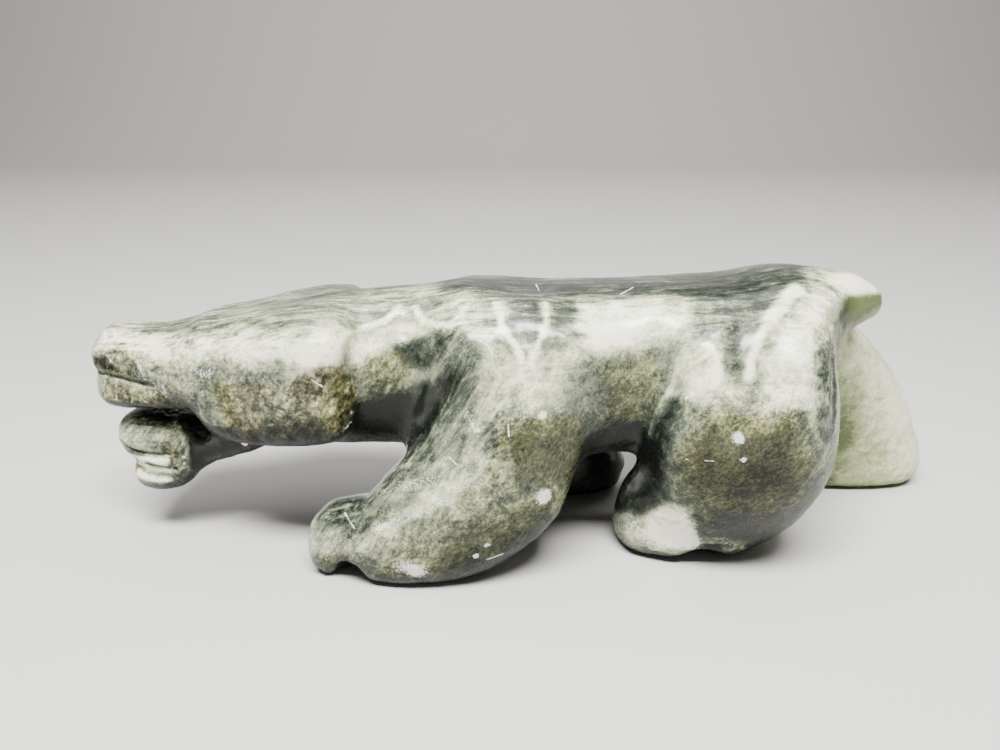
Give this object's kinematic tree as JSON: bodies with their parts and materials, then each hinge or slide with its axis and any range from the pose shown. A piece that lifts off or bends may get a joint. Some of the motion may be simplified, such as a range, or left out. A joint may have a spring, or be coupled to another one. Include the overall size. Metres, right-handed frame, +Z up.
{
  "type": "soapstone bear carving",
  "caption": "Carved stone bear walking on flat soles, long head stretched forward, jaw open with the tongue showing, short tail.",
  "frame": {"origin": "on the floor under the middle of the bear's bounding box", "axes": "+X towards the tail, the nose points to -X; -Y is the bear's left side; +Z up"},
  "size_m": [0.3464, 0.1072, 0.1076],
  "materials": {
    "soapstone": "hand-polished and waxed, scuffed, with rough brown crust left on the cheek and in the hollows"
  },
  "bodies": {
    "root": {"bear": "soapstone"}
  },
  "joints": []
}
